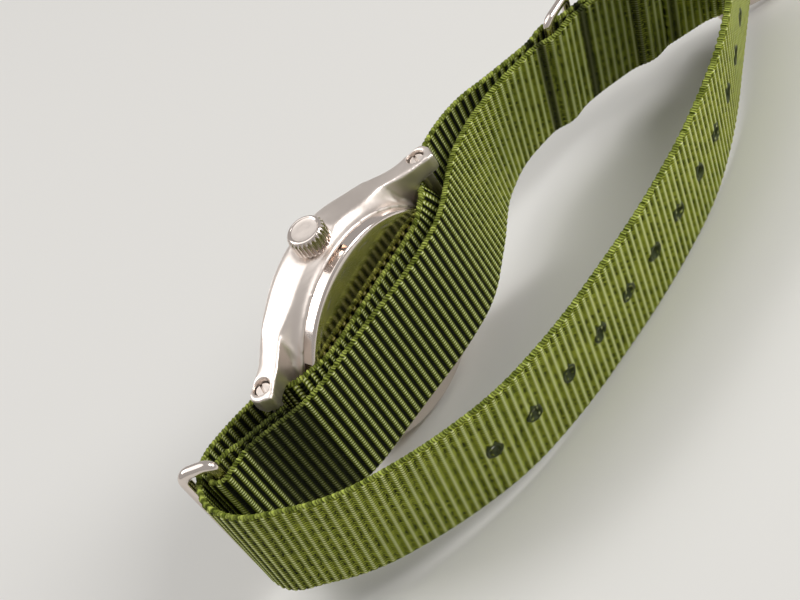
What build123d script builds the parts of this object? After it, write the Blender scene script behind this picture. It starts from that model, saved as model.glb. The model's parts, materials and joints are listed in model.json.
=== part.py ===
"""Field watch on a two-layer pull-through webbing strap, lying on its 9 o'clock side.

Every piece is drawn in the watch head's own axes: +X points out of the crown, +Y to 12 o'clock and
+Z out of the dial. The finished pieces are then laid down together in their resting place.
Lengths are in millimetres and angles in degrees.
"""

import os
from math import asin, atan2, ceil, cos, degrees, radians, sin

from build123d import *

# Driving dimensions of the head
case_diameter = 37.4
case_top = 4.4
flank_low = -0.9
lug_width = 2.87
bar_setoff = 1.9
lug_beyond_bar = 2.3
bar_level = -1.6
back_setback = 1.5
back_level = -5.2
crown_diameter = 5.7
crown_length = 3.2
crown_pull = 1.0
dial_level = 2.2

# Driving dimensions of the strap and its hardware
strap_width = 20.0
strap_thickness = 1.2
hole_pitch = 7.5
hole_count = 16
hole_diameter = 2.2
ring_wire = 1.8
ring_reach = 4.9
keeper_wire = 1.4
keeper_reach = 5.6
buckle_length = 13.0
buckle_wire = 1.9
buckle_pin_diameter = 1.5

# How the loop hangs from the head, and how the watch lies
loop_lean = 9.4
loop_skew = 2.6
rest_lean = 7.35
rest_skew = 2.05

# Shared clearances
running_gap = 0.05
seat_gap = 0.02
soft_gap = 0.15
side_gap = 0.4
cut_over = 1.0

case_radius = case_diameter / 2
back_radius = case_radius - back_setback
crown_radius = crown_diameter / 2
bar_y = case_radius + bar_setoff
bar_span = 2 * bar_y
lug_gap = strap_width + side_gap
lug_span = bar_span + 2 * lug_beyond_bar

os.makedirs("parts", exist_ok=True)


def side_face(*outline):
    """Closed face of (radius, height) points, to revolve about the dial's axis."""
    with BuildSketch(Plane.XZ) as face:
        with BuildLine():
            Polyline(*outline, close=True)
        make_face()
    return face.sketch


def ring_face(inner, outer, low, high):
    """Section of a plain ring about the dial's axis."""
    return side_face((inner, low), (outer, low), (outer, high), (inner, high))


# Case: a round body whose flank runs out into four drooping lugs
bore_radius = case_radius - 3.0
back_seat = back_level + 2.2
flank_drop = 1.4
groove_radius = back_radius + 0.35
lug_outer = lug_gap / 2 + lug_width
lug_end = lug_span / 2
lug_root = lug_end - 9.5
lug_bend = lug_end - 5.3
lug_knee = lug_end - 2.9
lug_top_bend = bar_level + 2.5
lug_top_knee = bar_level + 1.9
lug_top_end = bar_level + 1.0
lug_tip_low = bar_level - 3.3
lug_low_end = bar_level - 3.8
lug_low_knee = bar_level - 2.0
lug_low_bend = bar_level - 1.2
lug_tip_setback = 0.5
between_lugs = case_radius - 0.8
plan_round = 3.0
flank_chamfer = 1.1
flank_chamfer_width = 0.6
crown_recess = 0.45
crown_recess_radius = crown_radius + 0.5
tube_bore_radius = 1.3
screw_radius = 1.3
screw_sink = 0.35
dial_thickness = 0.4
dial_top = dial_level + dial_thickness
slope_foot = bore_radius - 0.6
slope_crest = bore_radius + 0.3

with BuildPart() as mid_case:
    with BuildSketch(Plane.XY.offset(lug_low_end)):
        Circle(case_radius)
        Rectangle(2 * lug_outer, lug_span)
        corners = vertices().filter_by(lambda v: abs(abs(v.Y) - lug_end) > plan_round)
        fillet(corners, radius=plan_round)
    extrude(amount=case_top - lug_low_end)
    with BuildSketch(Plane.YZ):
        with BuildLine():
            Polyline(
                (0, case_top),
                (lug_root, case_top),
                (lug_bend, lug_top_bend),
                (lug_knee, lug_top_knee),
                (lug_end - lug_tip_setback, lug_top_end),
                (lug_end, lug_top_end - lug_tip_setback),
                (lug_end, lug_tip_low),
                (lug_end - lug_tip_setback, lug_low_end),
                (lug_knee, lug_low_knee),
                (lug_bend, lug_low_bend),
                (lug_root, flank_low),
                (0, flank_low),
                close=True,
            )
        make_face()
        mirror(about=Plane.YZ)
    extrude(amount=case_radius + cut_over, both=True, mode=Mode.INTERSECT)
    underside = side_face(
        (0, flank_low),
        (case_radius, flank_low),
        (groove_radius, flank_low - flank_drop),
        (groove_radius, back_seat),
        (0, back_seat),
    )
    revolve(underside, axis=Axis.Z)
    # the edge chamfer towards the dial follows the round body only
    shaving = side_face(
        (case_radius - flank_chamfer_width, case_top),
        (case_radius + cut_over, case_top),
        (case_radius + cut_over, case_top - flank_chamfer),
        (case_radius, case_top - flank_chamfer),
    )
    revolve(shaving, axis=Axis.Z, mode=Mode.SUBTRACT)
    # the strap passes between the lugs, past a flat on the case
    with BuildSketch(Plane.XY.offset(lug_low_end - cut_over)):
        with Locations((0, between_lugs + lug_end / 2), (0, -between_lugs - lug_end / 2)):
            Rectangle(lug_gap, lug_end)
    extrude(amount=case_top - lug_low_end + 2 * cut_over, mode=Mode.SUBTRACT)
    # through bore for movement and dial, then a slope that opens towards the crystal
    hollow = side_face(
        (0, back_seat),
        (bore_radius, back_seat),
        (bore_radius, dial_top),
        (slope_foot, dial_top),
        (slope_crest, case_top),
        (0, case_top),
    )
    revolve(hollow, axis=Axis.Z, mode=Mode.SUBTRACT)
    # round recess and tube bore at the crown
    with BuildSketch(Plane.YZ.offset(case_radius - crown_recess)):
        Circle(crown_recess_radius)
    extrude(amount=crown_recess + cut_over, mode=Mode.SUBTRACT)
    with BuildSketch(Plane.YZ.offset(bore_radius - cut_over)):
        Circle(tube_bore_radius)
    extrude(amount=case_radius - bore_radius + 2 * cut_over, mode=Mode.SUBTRACT)
    # screw holes through all four lugs
    with BuildSketch(Plane.YZ):
        with Locations((bar_y, bar_level), (-bar_y, bar_level)):
            Circle(screw_radius + running_gap)
    extrude(amount=lug_outer + cut_over, both=True, mode=Mode.SUBTRACT)
mid_case.part.label = "mid_case"

# Bezel and crystal, both seated on the top of the case
bezel_height = 0.9
bezel_foot = case_radius - flank_chamfer_width - 0.1
bezel_bore = slope_crest + 0.5
crystal_crest = case_top + bezel_height + 0.4

with BuildPart() as bezel:
    bezel_face = side_face(
        (bezel_bore, case_top),
        (bezel_foot, case_top),
        (bezel_bore, case_top + bezel_height),
    )
    revolve(bezel_face, axis=Axis.Z)
bezel.part.label = "bezel"

with BuildPart() as crystal:
    with BuildSketch(Plane.XY.offset(case_top)):
        Circle(bezel_bore - seat_gap)
    extrude(amount=crystal_crest - case_top)
crystal.part.label = "crystal"

# Movement and the stack of tubes at its centre
movement_radius = bore_radius - seat_gap
movement_low = back_seat + seat_gap
centre_bore = 1.1
hour_tube_radius = 1.05
minute_tube_radius = 0.75
second_arbor_radius = 0.4
hand_lift = 0.4
hand_step = 0.4
hand_thickness = 0.15
tube_foot = dial_level + running_gap
stem_radius = 0.6
stem_inner_end = 8.0
hour_level = dial_top + hand_lift
minute_level = hour_level + hand_step
second_level = minute_level + hand_step

with BuildPart() as movement:
    with BuildSketch(Plane.XY.offset(movement_low)):
        Circle(movement_radius)
    extrude(amount=dial_level - movement_low)
    with BuildSketch(Plane.YZ.offset(stem_inner_end - crown_pull)):
        Circle(stem_radius + running_gap)
    extrude(amount=movement_radius, mode=Mode.SUBTRACT)
movement.part.label = "movement"

with BuildPart() as dial:
    with BuildSketch(Plane.XY.offset(dial_level)):
        Circle(bore_radius - seat_gap)
        Circle(centre_bore, mode=Mode.SUBTRACT)
    extrude(amount=dial_thickness)
dial.part.label = "dial"

# Hour markers: twelve raised blocks, a doubled one at 12
marker_radius = slope_foot - 1.5
marker_length = 1.8
marker_width = 0.8
marker_height = 0.12
with BuildPart() as hour_markers:
    with BuildSketch(Plane.XY.offset(dial_top)):
        with PolarLocations(marker_radius, 11, start_angle=120, angular_range=300):
            Rectangle(marker_length, marker_width)
        with Locations((marker_width, marker_radius), (-marker_width, marker_radius)):
            Rectangle(marker_width, marker_length)
    extrude(amount=marker_height)
hour_markers.part.label = "hour_markers"


def blade(width, length, tail):
    """Sword-shaped hand outline pointing to 12, with a short tail behind the centre."""
    with BuildLine() as outline:
        Polyline(
            (-width / 4, -tail),
            (width / 4, -tail),
            (width / 3, 0),
            (width / 2, length * blade_swell_share),
            (0, length),
            (-width / 2, length * blade_swell_share),
            (-width / 3, 0),
            close=True,
        )
    return outline.edges()


blade_swell_share = 0.72
hand_tail = 2.6
hand_hub = 0.5
hub_sides = 12
hour_hand_length = 8.6
hour_hand_width = 1.9
minute_hand_length = 12.6
minute_hand_width = 1.6
second_hand_length = 13.2
second_hand_width = 0.5
second_tail = 4.2

with BuildPart() as hour_hand:
    with BuildSketch(Plane.XY.offset(hour_level)):
        make_face(blade(hour_hand_width, hour_hand_length, hand_tail))
        RegularPolygon(hour_tube_radius + hand_hub, hub_sides)
        Circle(hour_tube_radius, mode=Mode.SUBTRACT)
    extrude(amount=hand_thickness)
hour_hand.part.label = "hour_hand"

with BuildPart() as minute_hand:
    with BuildSketch(Plane.XY.offset(minute_level)):
        make_face(blade(minute_hand_width, minute_hand_length, hand_tail))
        RegularPolygon(minute_tube_radius + hand_hub, hub_sides)
        Circle(minute_tube_radius, mode=Mode.SUBTRACT)
    extrude(amount=hand_thickness)
minute_hand.part.label = "minute_hand"

with BuildPart() as second_hand:
    with BuildSketch(Plane.XY.offset(second_level)):
        make_face(blade(second_hand_width, second_hand_length, second_tail))
        RegularPolygon(second_arbor_radius + hand_hub, hub_sides)
        Circle(second_arbor_radius, mode=Mode.SUBTRACT)
    extrude(amount=hand_thickness)
second_hand.part.label = "second_hand"

with BuildPart() as hour_wheel:
    tube_inner = minute_tube_radius + running_gap
    tube_top = hour_level + hand_thickness
    revolve(ring_face(tube_inner, hour_tube_radius, tube_foot, tube_top), axis=Axis.Z)
hour_wheel.part.label = "hour_wheel"

with BuildPart() as cannon_pinion:
    pinion_inner = second_arbor_radius + running_gap
    pinion_top = minute_level + hand_thickness
    revolve(ring_face(pinion_inner, minute_tube_radius, tube_foot, pinion_top), axis=Axis.Z)
cannon_pinion.part.label = "cannon_pinion"

with BuildPart() as second_arbor:
    with BuildSketch(Plane.XY.offset(tube_foot)):
        Circle(second_arbor_radius)
    extrude(amount=second_level + hand_thickness - tube_foot)
second_arbor.part.label = "second_arbor"

# Crown with its tube, gasket and stem
tube_wall = 0.55
tube_stick_out = 1.1
crown_floor = case_radius - crown_recess + 0.2
crown_face = crown_floor + crown_length
crown_bore_depth = 1.9
crown_chamfer = 0.35
flute_count = 18
flute_depth = 0.22
flute_width = 0.34
tube_outer_end = case_radius - crown_recess + tube_stick_out

with BuildPart() as crown_tube:
    with BuildSketch(Plane.YZ.offset(bore_radius)):
        Circle(tube_bore_radius)
        Circle(tube_bore_radius - tube_wall, mode=Mode.SUBTRACT)
    extrude(amount=tube_outer_end - bore_radius)
crown_tube.part.label = "crown_tube"

with BuildPart() as crown:
    with BuildSketch(Plane.YZ.offset(crown_floor)):
        Circle(crown_radius)
        with PolarLocations(crown_radius, flute_count):
            Rectangle(2 * flute_depth, flute_width, mode=Mode.SUBTRACT)
    extrude(amount=crown_length - crown_chamfer)
    with BuildSketch(Plane.YZ.offset(crown_face - crown_chamfer)):
        Circle(crown_radius - flute_depth)
    extrude(amount=crown_chamfer, taper=30)
    with BuildSketch(Plane.YZ.offset(crown_floor)):
        Circle(tube_bore_radius + running_gap)
    extrude(amount=crown_bore_depth, mode=Mode.SUBTRACT)
crown.part.label = "crown"

stem_outer_end = crown_floor + crown_bore_depth - running_gap
with BuildPart() as winding_stem:
    with BuildSketch(Plane.YZ.offset(stem_inner_end)):
        Circle(stem_radius)
    extrude(amount=stem_outer_end - stem_inner_end)
winding_stem.part.label = "winding_stem"

# Screwed case back with six key slots round its wall
slot_width = 3.0
slot_depth = 0.9
slot_height = 1.3
back_bevel = 0.3

with BuildPart() as case_back:
    back_face = side_face(
        (0, back_level),
        (back_radius - back_bevel, back_level),
        (back_radius, back_level + back_bevel),
        (back_radius, back_seat),
        (0, back_seat),
    )
    revolve(back_face, axis=Axis.Z)
    with BuildSketch(Plane.XY.offset(back_seat - back_bevel - slot_height)):
        with PolarLocations(back_radius, 6):
            Rectangle(2 * slot_depth, slot_width)
    extrude(amount=slot_height, mode=Mode.SUBTRACT)
case_back.part.label = "case_back"

# Strap bars and the slotted screws that hold them from both sides
bar_radius = 0.9
bar_end = lug_gap / 2 - seat_gap
screw_slot = 0.4
screw_slot_depth = 0.35

with BuildPart() as strap_bars:
    with BuildSketch(Plane.YZ):
        with Locations((bar_y, bar_level), (-bar_y, bar_level)):
            Circle(bar_radius)
    extrude(amount=bar_end, both=True)
strap_bars.part.label = "strap_bars"

screw_face = lug_outer - screw_sink
with BuildPart() as lug_screws:
    with BuildSketch(Plane.YZ):
        with Locations((bar_y, bar_level), (-bar_y, bar_level)):
            Circle(screw_radius)
    extrude(amount=screw_face, both=True)
    with BuildSketch(Plane.YZ):
        with Locations((bar_y, bar_level), (-bar_y, bar_level)):
            Rectangle(2 * screw_radius, screw_slot, rotation=60)
    extrude(amount=screw_face, both=True, mode=Mode.SUBTRACT)
    with BuildSketch(Plane.YZ):
        with Locations((bar_y, bar_level), (-bar_y, bar_level)):
            Circle(screw_radius)
    extrude(amount=screw_face - screw_slot_depth, both=True)
    with BuildSketch(Plane.YZ):
        with Locations((bar_y, bar_level), (-bar_y, bar_level)):
            Circle(screw_radius + cut_over)
    extrude(amount=bar_end, both=True, mode=Mode.SUBTRACT)
lug_screws.part.label = "lug_screws"

# The webbing loop: its routes are drawn side on, as (Y, Z) points of the webbing's middle
soft = strap_thickness / 2
pin_radius = buckle_pin_diameter / 2
fold_wrap = pin_radius + soft + soft_gap
tail_wrap = fold_wrap + strap_thickness + 3 * soft_gap
layer_step = strap_thickness + 2 * seat_gap
half_layer = layer_step / 2
under_back = back_level - soft - soft_gap
under_corner = 2.2
beside_bar = bar_y - bar_radius - soft - 2 * running_gap
over_bar = bar_level + bar_radius + soft + soft_gap
bar_wrap = bar_radius + soft + 2 * running_gap
free_leg_slope = 129.5
ring_wrap = ring_wire / 2 + soft + running_gap
pocket = keeper_wire / 2 + soft + running_gap
pocket_crest = pocket + 2 * soft_gap
tip_round = 6.0

# The loop is turned about its length against the head; bearings are seen from the loop's middle
full_turn_share = 1.45
upper_turn_start = 28.0
upper_turn_end = 75.0
ring_turn_start = 165.0
ring_turn_end = 179.0
lower_turn_start = 325.0
lower_turn_end = 350.0


def out(y_share, z_share):
    """Side-on point away from the dial's centre, in shares of the span between the bars."""
    return y_share * bar_span, z_share * bar_span


def smooth(value, start, end):
    """Ease from 0 at start to 1 at end."""
    share = min(max((value - start) / (end - start), 0), 1)
    return share * share * (3 - 2 * share)


# places of the hardware and of the loop's middle, side on
pin_point = out(1.9296, -0.3738)
free_leg = out(-0.8034, -0.0218)
keeper_leg = out(1.2136, -0.0631)
holding_leg = out(1.5922, -0.21)
loop_middle = out(0.4854, -0.3883)


def turn_share(y, level):
    """How far the webbing has turned from the head's axis (0) to the loop's own axis (1)."""
    bearing = degrees(atan2(level - loop_middle[1], y - loop_middle[0])) % 360
    upper = full_turn_share * (1 - smooth(bearing, upper_turn_start, upper_turn_end))
    ring = smooth(bearing, ring_turn_start, ring_turn_end)
    lower = (full_turn_share - 1) * smooth(bearing, lower_turn_start, lower_turn_end)
    return upper if bearing < (upper_turn_end + ring_turn_start) / 2 else ring + lower


head_axis = Vector(1, 0, 0)
loop_axis = head_axis.rotate(Axis.Y, loop_lean).rotate(Axis.Z, loop_skew)
loop_offset = 0.83


def middle(y, level):
    """Point of the webbing's middle line, carried sideways with the loop's lean."""
    sideways = (loop_offset - loop_axis.Y * y - loop_axis.Z * level) / loop_axis.X
    return Vector(min(turn_share(y, level), 1) * sideways, y, level)


def across(y, level):
    """Unit direction across the webbing."""
    share = turn_share(y, level)
    return (head_axis * (1 - share) + loop_axis * share).normalized()


def section_plane(here, ahead):
    """Plane square to the webbing: X across it, Z along it."""
    side = across(here.Y, here.Z)
    along = (ahead - side * ahead.dot(side)).normalized()
    return Plane(origin=middle(here.Y, here.Z), x_dir=side, z_dir=along)


eased_share = 0.45
route_step = 7.0
route_bend = 20.0


def rounded_route(points, fixed):
    """Side-on route; a corner's radius is its fixed one or fills most of its shorter run."""
    radii = []
    for i in range(1, len(points) - 1):
        before = Vector(*points[i]) - Vector(*points[i - 1])
        after = Vector(*points[i + 1]) - Vector(*points[i])
        half = radians(before.get_angle(after)) / 2
        eased = eased_share * min(before.length, after.length) * cos(half) / sin(half)
        radii.append(fixed.get(i, eased))
    with BuildLine(Plane.YZ) as route:
        FilletPolyline(*points, radius=radii)
    return route.wire()


def stations(route):
    """Section planes along a route: close together on bends, further apart on straights."""
    planes = []
    passed = 0
    for edge in route.order_edges():
        bend = degrees(edge.length / edge.radius) if edge.geom_type == GeomType.CIRCLE else 0
        count = ceil(max(edge.length / route_step, bend / route_bend))
        for i in range(count):
            at = passed + edge.length * i / count
            here = route.position_at(at, position_mode=PositionMode.LENGTH)
            ahead = route.tangent_at(at, position_mode=PositionMode.LENGTH)
            planes.append(section_plane(here, ahead))
        passed += edge.length
    return planes + [section_plane(route @ 1, route % 1)]


def flat_skin(a, b, c, d):
    """Face of four corners in one plane, or two triangles where they aren't."""
    if abs((b - a).cross(c - a).normalized().dot(d - a)) < flat_enough:
        return [Face(Wire.make_polygon((a, b, c, d)))]
    return [Face(Wire.make_polygon((a, b, c))), Face(Wire.make_polygon((a, c, d)))]


flat_enough = 1e-9 * strap_width


def band(sections):
    """Solid through rectangular sections, given as (plane, width), with flat faces between."""
    rings = []
    for plane, width in sections:
        flat = ((-width, -soft * 2), (width, -soft * 2), (width, soft * 2), (-width, soft * 2))
        rings.append([plane.from_local_coords(Vector(x, y) / 2) for x, y in flat])
    faces = [Face(Wire.make_polygon(rings[0])), Face(Wire.make_polygon(rings[-1]))]
    for before, after in zip(rings, rings[1:]):
        for i in range(4):
            faces += flat_skin(before[i - 1], before[i], after[i], after[i - 1])
    return Solid(Shell(faces))


# the seam between the two sewn layers, from where they meet to the buckle pin
seam = (out(1.0922, -0.0267), keeper_leg, out(1.3835, -0.1189), holding_leg, pin_point)
leg_relief = 3.2
fold_lead = 10.0
fold_pinch = 4.6
fold_neck = 1.9
tail_neck = 7.0


def beside_seam(i, along, square):
    """A point measured along the seam from its corner i and square to it."""
    here = Vector(*seam[i])
    ahead = (Vector(*seam[min(i + 1, 4)]) - Vector(*seam[max(i - 1, 0)])).normalized()
    point = here + ahead * along + Vector(-ahead.Y, ahead.X) * square
    return point.X, point.Y


def ring_point(along, square):
    """A point measured from the free ring's inner leg to its outer one, and square to that."""
    slope = radians(free_leg_slope)
    y = free_leg[0] + along * cos(slope) - square * sin(slope)
    return y, free_leg[1] + along * sin(slope) + square * cos(slope)


# Long layer from its fold at the buckle to the middle of the case back
upper_points = (
    beside_seam(4, -fold_lead, -half_layer),
    beside_seam(4, -fold_pinch, -half_layer),
    beside_seam(4, -fold_neck, -fold_wrap),
    beside_seam(4, fold_wrap, -fold_wrap),
    beside_seam(4, fold_wrap, fold_wrap),
    beside_seam(4, -fold_neck, fold_wrap),
    beside_seam(4, -fold_pinch, half_layer),
    beside_seam(3, leg_relief, half_layer),
    beside_seam(3, 0, pocket_crest),
    beside_seam(3, -leg_relief, half_layer),
    beside_seam(2, 0, half_layer),
    beside_seam(1, leg_relief, half_layer),
    beside_seam(1, 0, pocket_crest),
    beside_seam(1, -leg_relief, half_layer),
    out(1.0073, 0.0121),
    out(0.8252, 0.0558),
    out(0.6675, 0.0461),
    (beside_bar, over_bar),
    (beside_bar - running_gap, under_back),
    (0, under_back),
)
upper_radii = {3: fold_wrap - seat_gap, 4: fold_wrap - seat_gap, 17: bar_wrap, 18: under_corner}

# The same strap on from there: over the other bar, through the ring, round and through the buckle
wrap_turn = 65.7
over_ring = 3.15
outside_ring = 3.9
wrap_run = tail_wrap * sin(radians(wrap_turn)) / cos(radians(wrap_turn))
tail_points = (
    (0, under_back),
    (-beside_bar + running_gap, under_back),
    (-beside_bar, over_bar + 2 * soft_gap),
    out(-0.6068, 0.0607),
    out(-0.7913, 0.091),
    ring_point(over_ring, outside_ring),
    out(-0.9466, -0.199),
    out(-0.7597, -0.4393),
    out(-0.4854, -0.6068),
    out(-0.2063, -0.7233),
    out(0.1092, -0.7743),
    out(0.6068, -0.7937),
    out(1.0194, -0.767),
    out(1.3835, -0.682),
    beside_seam(4, wrap_run, tail_wrap),
    beside_seam(4, -tail_neck, tail_wrap - 2 * (soft_gap + running_gap)),
    beside_seam(3, 0, pocket_crest + strap_thickness),
    beside_seam(3, -leg_relief, pocket + strap_thickness),
)
tail_radii = {1: under_corner, 2: bar_wrap, 14: tail_wrap}

# Short layer: folded round the free ring, under the watch, then along the seam
ring_y, ring_z = free_leg
ring_lead = 2.4
short_points = (
    out(-0.5024, -0.1032),
    out(-0.682, -0.0231),
    (ring_y + ring_lead, ring_z + ring_wrap - seat_gap),
    (ring_y - ring_wrap, ring_z + ring_wrap - seat_gap),
    (ring_y - ring_wrap, ring_z - ring_wrap),
    (ring_y + 2 * ring_lead, ring_z - ring_wrap),
    out(-0.449, -0.182),
    out(-0.2184, -0.1966),
    out(0.0971, -0.2306),
    out(0.324, -0.2245),
    out(0.6238, -0.0886),
    out(0.7646, -0.0352),
    out(0.9345, -0.0182),
    beside_seam(1, -leg_relief, -half_layer),
    beside_seam(1, 0, -pocket_crest),
    beside_seam(1, leg_relief, -half_layer),
    beside_seam(2, 0, -half_layer),
    beside_seam(3, -leg_relief, -half_layer),
    beside_seam(3, 0, -pocket_crest),
    beside_seam(3, leg_relief, -half_layer),
)
short_radii = {3: ring_wrap - seat_gap, 4: ring_wrap - seat_gap}

upper_route = rounded_route(upper_points, upper_radii)
tail_route = rounded_route(tail_points, tail_radii)
short_route = rounded_route(short_points, short_radii)
long_planes = stations(upper_route) + stations(tail_route)[1:]


def hinge_plane(point, slope):
    """Plane at a wire that runs across the webbing: Z along the wire, X at a side-on slope."""
    side = across(*point)
    ahead = Vector(0, cos(radians(slope)), sin(radians(slope)))
    square = (ahead - side * ahead.dot(side)).normalized()
    return Plane(origin=middle(*point), x_dir=square, z_dir=side)


# Buckle: a flat frame hinged on a pin, with a tongue that rests on its front bar
frame_slope = -32.0
tongue_width = 1.4
tongue_height = 0.9
tongue_eye = 1.75
front_radius = buckle_wire / 2
tongue_rise = front_radius + tongue_height / 2 + running_gap
tongue_tilt = degrees(asin(tongue_rise / (buckle_length - front_radius)))
frame_plane = hinge_plane(pin_point, frame_slope)
tongue_plane = hinge_plane(pin_point, frame_slope + tongue_tilt)
arm_inner = strap_width / 2 + 0.5
arm_width = 1.9
arm_outer = arm_inner + arm_width
slot_half = tongue_width / 2 + 0.4
slot_reach = fold_wrap + soft + soft_gap

# holes are counted from the one the tongue passes through
pin_centre = Vector(0, *pin_point)
tongue_way = radians(frame_slope + tongue_tilt)
tongue_far = pin_centre + Vector(0, cos(tongue_way), sin(tongue_way)) * 2 * tail_wrap
tongue_ray = Edge.make_line(pin_centre, tongue_far)
crossing = tail_route.distance_to_with_closest_points(tongue_ray)[1]
tongue_at = tail_route.param_at_point(crossing) * tail_route.length
holes_beyond = 2
hole_sides = 8
tip_steps = 5

with BuildPart() as long_strap:
    long_sections = [(plane, strap_width) for plane in long_planes]
    for i in range(1, tip_steps + 1):
        swing = radians(90) * i / tip_steps
        tip_width = strap_width - 2 * tip_round * (1 - cos(swing))
        long_sections.append((long_planes[-1].offset(tip_round * sin(swing)), tip_width))
    add(band(long_sections))
    for i in range(holes_beyond - hole_count + 1, holes_beyond + 1):
        at = tongue_at + i * hole_pitch
        here = tail_route.position_at(at, position_mode=PositionMode.LENGTH)
        flat = section_plane(here, tail_route.tangent_at(at, position_mode=PositionMode.LENGTH))
        with BuildSketch(Plane(origin=flat.origin, x_dir=flat.x_dir, z_dir=flat.y_dir)):
            RegularPolygon(hole_diameter / 2, hole_sides)
        extrude(amount=soft + (seat_gap if i > 0 else 2 * soft_gap), both=True, mode=Mode.SUBTRACT)
    with BuildSketch(frame_plane):
        Circle(slot_reach)
    extrude(amount=slot_half, both=True, mode=Mode.SUBTRACT)
long_strap.part.label = "long_strap"

with BuildPart() as short_strap:
    add(band([(plane, strap_width) for plane in stations(short_route)]))
short_strap.part.label = "short_strap"


wire_sides = 8
corner_share = 0.29


def wire_loop(hinge, half_width, reach, wire, corner):
    """Closed loop of wire: a round leg on the hinge plane's Z, the other a reach away in X."""
    flat = Plane(origin=hinge.origin, x_dir=hinge.z_dir, z_dir=hinge.y_dir)
    cut = corner_share * corner
    eased = (
        (half_width - 2 * corner, 0),
        (half_width - corner, 0),
        (half_width - cut, cut),
        (half_width, corner),
        (half_width, reach - corner),
        (half_width - cut, reach - cut),
        (half_width - corner, reach),
        (corner - half_width, reach),
        (cut - half_width, reach - cut),
        (-half_width, reach - corner),
        (-half_width, corner),
        (cut - half_width, cut),
        (corner - half_width, 0),
        (2 * corner - half_width, 0),
    )
    with BuildPart() as loop:
        with BuildLine(flat) as path:
            Polyline(*eased)
        start = path.wire() @ 0
        with BuildSketch(Plane(origin=start, x_dir=flat.z_dir, z_dir=path.wire() % 0)):
            RegularPolygon(wire / 2, wire_sides)
        sweep(path=path.wire(), transition=Transition.RIGHT)
        with BuildSketch(hinge):
            Circle(wire / 2)
        extrude(amount=half_width - corner, both=True)
    return loop.part


ring_half_width = strap_width / 2 + 2.0
ring_corner = 1.7
keeper_half_width = strap_width / 2 + 1.5
keeper_corner = 1.3
keeper_lie = 2.4
holding_slope = 22.5

with BuildPart() as free_ring:
    ring_plane = hinge_plane(free_leg, free_leg_slope)
    add(wire_loop(ring_plane, ring_half_width, ring_reach, ring_wire, ring_corner))
free_ring.part.label = "free_ring"

with BuildPart() as keeper_ring_1:
    keeper_plane = hinge_plane(keeper_leg, keeper_lie)
    add(wire_loop(keeper_plane, keeper_half_width, keeper_reach, keeper_wire, keeper_corner))
keeper_ring_1.part.label = "keeper_ring_1"

with BuildPart() as keeper_ring_2:
    holding_plane = hinge_plane(holding_leg, holding_slope)
    add(wire_loop(holding_plane, keeper_half_width, keeper_reach, keeper_wire, keeper_corner))
keeper_ring_2.part.label = "keeper_ring_2"

pin_overhang = 0.3
with BuildPart() as buckle_pin:
    with BuildSketch(frame_plane):
        Circle(pin_radius)
    extrude(amount=arm_outer + pin_overhang, both=True)
buckle_pin.part.label = "buckle_pin"

frame_corner = 3.0
plan_plane = Plane(frame_plane.origin, x_dir=frame_plane.x_dir, z_dir=frame_plane.y_dir)
plan_length = 2 * buckle_length
with BuildPart() as buckle_frame:
    with BuildSketch(frame_plane):
        Circle(2 * front_radius)
        with Locations((buckle_length / 2, 0)):
            Rectangle(buckle_length, buckle_wire)
        with Locations((buckle_length, 0)):
            Circle(front_radius)
        Circle(pin_radius + running_gap, mode=Mode.SUBTRACT)
    extrude(amount=arm_outer, both=True)
    with BuildSketch(plan_plane):
        with Locations((buckle_length + front_radius - plan_length / 2, 0)):
            RectangleRounded(plan_length, 2 * arm_outer, frame_corner)
        with Locations((buckle_length - front_radius - plan_length / 2, 0)):
            RectangleRounded(plan_length, 2 * arm_inner, frame_corner / 2, mode=Mode.SUBTRACT)
    extrude(amount=3 * front_radius, both=True, mode=Mode.INTERSECT)
buckle_frame.part.label = "buckle_frame"

tongue_reach = buckle_length + front_radius + 0.4
with BuildPart() as buckle_tongue:
    with BuildSketch(tongue_plane):
        with Locations((tongue_reach / 2, 0)):
            Rectangle(tongue_reach, tongue_height)
        with Locations((tongue_reach, 0)):
            Circle(tongue_height / 2)
        RegularPolygon(tongue_eye, hub_sides)
        Circle(pin_radius + running_gap, mode=Mode.SUBTRACT)
    extrude(amount=tongue_width / 2, both=True)
buckle_tongue.part.label = "buckle_tongue"

# Laying the watch down: the floor is a plane in the head's axes, its normal near the crown's
floor_normal = Vector(1, 0, 0).rotate(Axis.Y, -rest_lean).rotate(Axis.Z, rest_skew)
length_way = Vector(0, -1, 0) + floor_normal * floor_normal.Y
floor = Plane(origin=(0, 0, 0), x_dir=length_way.normalized(), z_dir=floor_normal)
pieces = (
    mid_case,
    bezel,
    crystal,
    dial,
    hour_markers,
    hour_hand,
    minute_hand,
    second_hand,
    hour_wheel,
    cannon_pinion,
    second_arbor,
    movement,
    winding_stem,
    crown,
    crown_tube,
    case_back,
    strap_bars,
    lug_screws,
    long_strap,
    short_strap,
    free_ring,
    keeper_ring_1,
    keeper_ring_2,
    buckle_frame,
    buckle_pin,
    buckle_tongue,
)
down = floor.location.inverse()
laid = [piece.part.moved(down) for piece in pieces]
extent = Compound(laid).bounding_box()
centre = extent.center()
settle = Location((-centre.X, -centre.Y, -extent.min.Z))
for piece, flat_part in zip(pieces, laid):
    name = piece.part.label
    settled = flat_part.moved(settle)
    settled.label = name
    export_step(settled, f"parts/{name}.step")
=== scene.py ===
# %% [markdown]
# # A field watch lying on its side in its closed webbing strap
# The rigid pieces are already known from the CAD model, which is loaded first and never moved.
# This lesson dresses it: woven nylon for the strap, satin and polished steel for the metal, and
# the small shapes that a plain solid leaves out.

import json
import math

import bmesh
import bpy
import numpy as np
from mathutils import Matrix, Vector


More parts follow.
